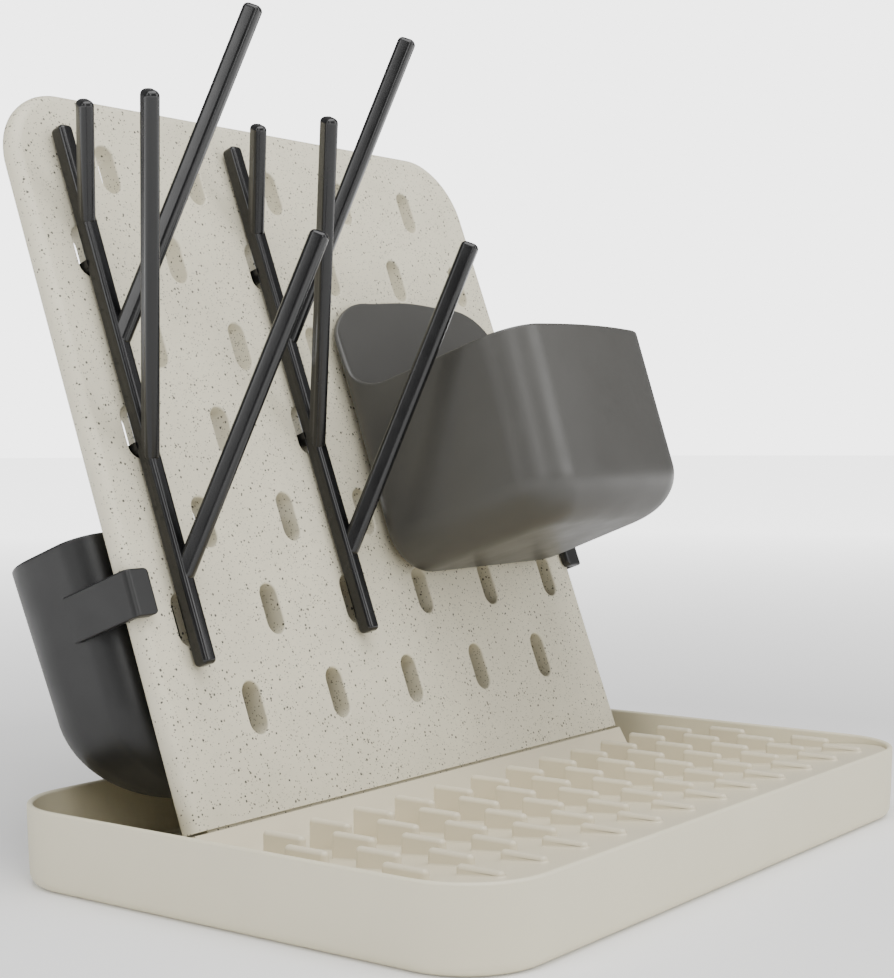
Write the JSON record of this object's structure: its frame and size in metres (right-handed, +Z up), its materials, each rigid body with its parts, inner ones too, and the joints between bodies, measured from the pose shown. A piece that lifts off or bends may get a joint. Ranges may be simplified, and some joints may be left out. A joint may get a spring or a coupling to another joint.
{
  "type": "bottle drying rack",
  "caption": "Baby bottle drying rack: a tray with a ribbed draining floor, a leaning slotted peg board, branching peg trees, a front cup and a rear caddy.",
  "frame": {"origin": "middle of the tray's underside", "axes": "+Z up, +X along the board to the right as seen from the front, +Y from the ribbed floor to the caddy behind the board"},
  "size_m": [0.3366, 0.2586, 0.3448],
  "materials": {
    "tray": "warm light grey, matte",
    "draining_floor": "warm light grey, smooth",
    "board": "warm light grey with fine dark specks",
    "peg_tree": "charcoal, satin",
    "cup": "mid grey, satin",
    "caddy": "dark grey, satin",
    "foot": "soft grey rubber"
  },
  "bodies": {
    "base": {"drip_tray": "tray", "foot_1": "foot", "foot_2": "foot", "foot_3": "foot", "foot_4": "foot"},
    "floor": {"drain_insert": "draining_floor"},
    "board": {"pegboard": "board"},
    "tree_left": {"peg_tree_left": "peg_tree"},
    "tree_right": {"peg_tree_right": "peg_tree"},
    "cup": {"front_cup": "cup"},
    "caddy": {"rear_caddy": "caddy"}
  },
  "joints": [
    {"name": "floor_lift", "type": "slide", "parent": "base", "child": "floor", "axis": [0, 0, 1], "range_m": [0, 0.045]},
    {"name": "board_lift", "type": "slide", "parent": "floor", "child": "board", "axis": [0, 0.3482, 0.9374], "range_m": [0, 0.03]},
    {"name": "tree_left_lift", "type": "slide", "parent": "board", "child": "tree_left", "axis": [0, -0.4166, 0.9091], "range_m": [0, 0.04]},
    {"name": "tree_right_lift", "type": "slide", "parent": "board", "child": "tree_right", "axis": [0, -0.4166, 0.9091], "range_m": [0, 0.04]},
    {"name": "cup_lift", "type": "slide", "parent": "board", "child": "cup", "axis": [0, -0.4166, 0.9091], "range_m": [0, 0.03]},
    {"name": "caddy_lift", "type": "slide", "parent": "board", "child": "caddy", "axis": [0, 0.3482, 0.9374], "range_m": [0, 0.235]}
  ]
}
